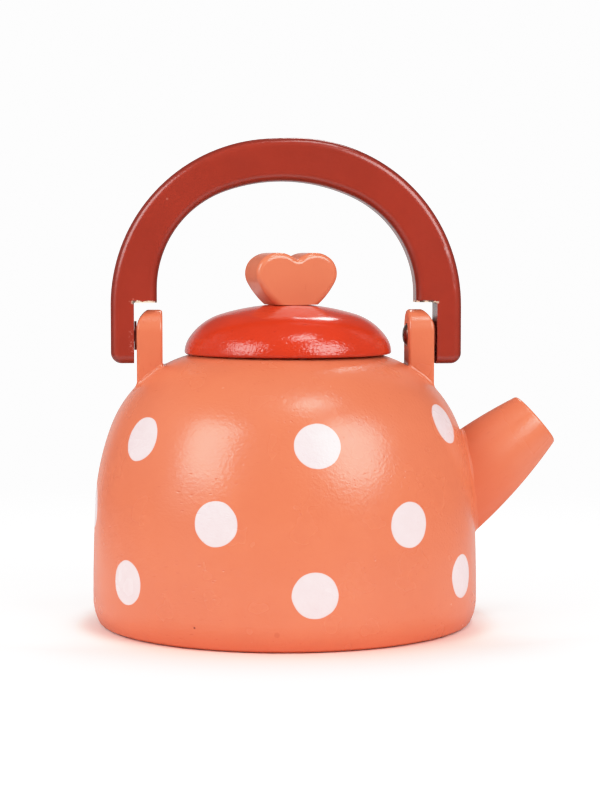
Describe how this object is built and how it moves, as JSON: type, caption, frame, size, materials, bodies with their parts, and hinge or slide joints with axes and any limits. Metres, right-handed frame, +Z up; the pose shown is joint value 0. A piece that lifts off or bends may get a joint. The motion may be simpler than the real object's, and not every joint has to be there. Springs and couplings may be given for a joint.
{
  "type": "wooden toy kettle",
  "caption": "Round-shouldered wooden play kettle with a short cone spout, a lift-off domed lid with a heart-shaped knob, and an arched handle that swings on two side posts.",
  "frame": {"origin": "centre of the flat base, on the axis of the turned body", "axes": "+Z up along the axis of the turned body; +X towards the spout, along the handle's hinge axis; -Y is the side seen in the picture"},
  "size_m": [0.1451, 0.12, 0.1504],
  "materials": {
    "body_paint": "coral satin-gloss paint with pale pink dots on turned wood",
    "knob_paint": "coral satin-gloss paint on sawn wood",
    "lid_paint": "red satin-gloss paint on turned wood",
    "handle_paint": "dark red satin paint on sawn wood",
    "screw_metal": "plain steel",
    "bare_wood": "bare beech"
  },
  "bodies": {
    "kettle": {"body": "body_paint", "spout": "body_paint", "spout_dowel": "bare_wood", "post_left": "body_paint", "post_right": "body_paint", "washer_left": "screw_metal", "washer_right": "screw_metal"},
    "handle": {"handle": "handle_paint", "pivot_screw_left": "screw_metal", "pivot_screw_right": "screw_metal"},
    "lid": {"lid": "lid_paint", "knob": "knob_paint", "knob_dowel": "bare_wood"}
  },
  "joints": [
    {"name": "handle_swing", "type": "hinge", "parent": "kettle", "child": "handle", "pos_m": [0, 0, 0.0894], "axis": [1, 0, 0], "range_deg": [-101.5, 101.5]},
    {"name": "lid_lift", "type": "slide", "parent": "kettle", "child": "lid", "axis": [0, 0, 1], "range_m": [0, 0.019]}
  ]
}
